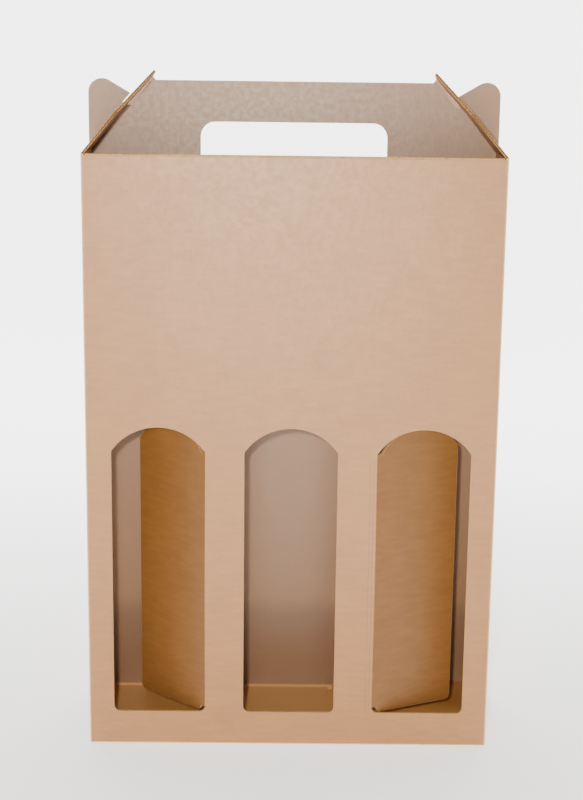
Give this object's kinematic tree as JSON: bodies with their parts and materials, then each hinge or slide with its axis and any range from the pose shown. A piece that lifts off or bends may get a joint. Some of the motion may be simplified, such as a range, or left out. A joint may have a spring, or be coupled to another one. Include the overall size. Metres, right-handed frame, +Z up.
{
  "type": "bottle shipping box",
  "caption": "Upright folded corrugated cardboard bottle carrier with arched windows, push-in divider flaps, hooked side flaps and a hand hole in its raised back wall.",
  "frame": {"origin": "centre of the base, on the underside of the box's outer base flap", "axes": "+X across the width to the front wall's right, +Y from the windowed front wall to the back wall with the hand hole, +Z up"},
  "size_m": [0.2736, 0.1048, 0.4367],
  "materials": {
    "kraft_board": "matte brown kraft corrugated board"
  },
  "bodies": {
    "carton": {"carton_body": "kraft_board"},
    "left_divider": {"left_divider_flap": "kraft_board"},
    "right_divider": {"right_divider_flap": "kraft_board"}
  },
  "joints": [
    {"name": "left_divider_fold", "type": "hinge", "parent": "carton", "child": "left_divider", "pos_m": [-0.055, -0.045, 0.11], "axis": [0, 0, -1], "range_deg": [-41, 49]},
    {"name": "right_divider_fold", "type": "hinge", "parent": "carton", "child": "right_divider", "pos_m": [0.055, -0.045, 0.11], "axis": [0, 0, 1], "range_deg": [-25, 65]}
  ]
}
